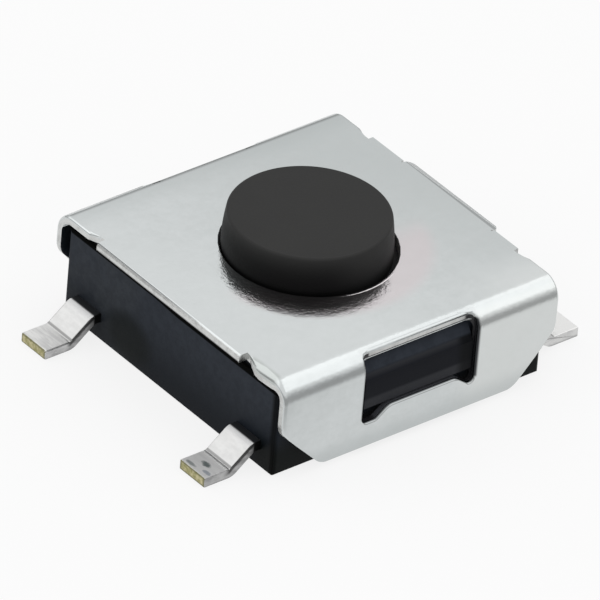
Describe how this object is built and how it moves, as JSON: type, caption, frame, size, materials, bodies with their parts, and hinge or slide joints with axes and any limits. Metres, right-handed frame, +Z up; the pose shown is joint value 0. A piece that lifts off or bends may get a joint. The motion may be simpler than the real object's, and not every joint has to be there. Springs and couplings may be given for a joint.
{
  "type": "tactile push button switch",
  "caption": "Low surface-mount tactile push button switch: folded metal cover over a moulded base, round black button, gull-wing leads.",
  "frame": {"origin": "centre of the footprint on the board, at the soles of the feet", "axes": "+X along the bends of the cover, towards one pair of leads; +Y across the folded flanges; +Z up, out of the button"},
  "size_m": [0.0084, 0.0066, 0.0027],
  "materials": {
    "base_plastic": "satin moulded, navy black",
    "lead_plating": "bright tin over copper alloy, bare alloy at the cut toes",
    "disc_steel": "spring steel",
    "button_plastic": "fine matt moulded, black",
    "cover_sheet": "bright rolled stainless sheet"
  },
  "bodies": {
    "housing": {"base": "base_plastic", "centre_contact": "lead_plating", "outer_contact": "lead_plating", "snap_disc": "disc_steel", "cover": "cover_sheet"},
    "button": {"button": "button_plastic"}
  },
  "joints": [
    {"name": "button_press", "type": "slide", "parent": "housing", "child": "button", "axis": [0, 0, -1], "range_m": [0, 0.00025], "stiffness_N_per_m": 6400, "deforming": ["snap_disc"]}
  ]
}
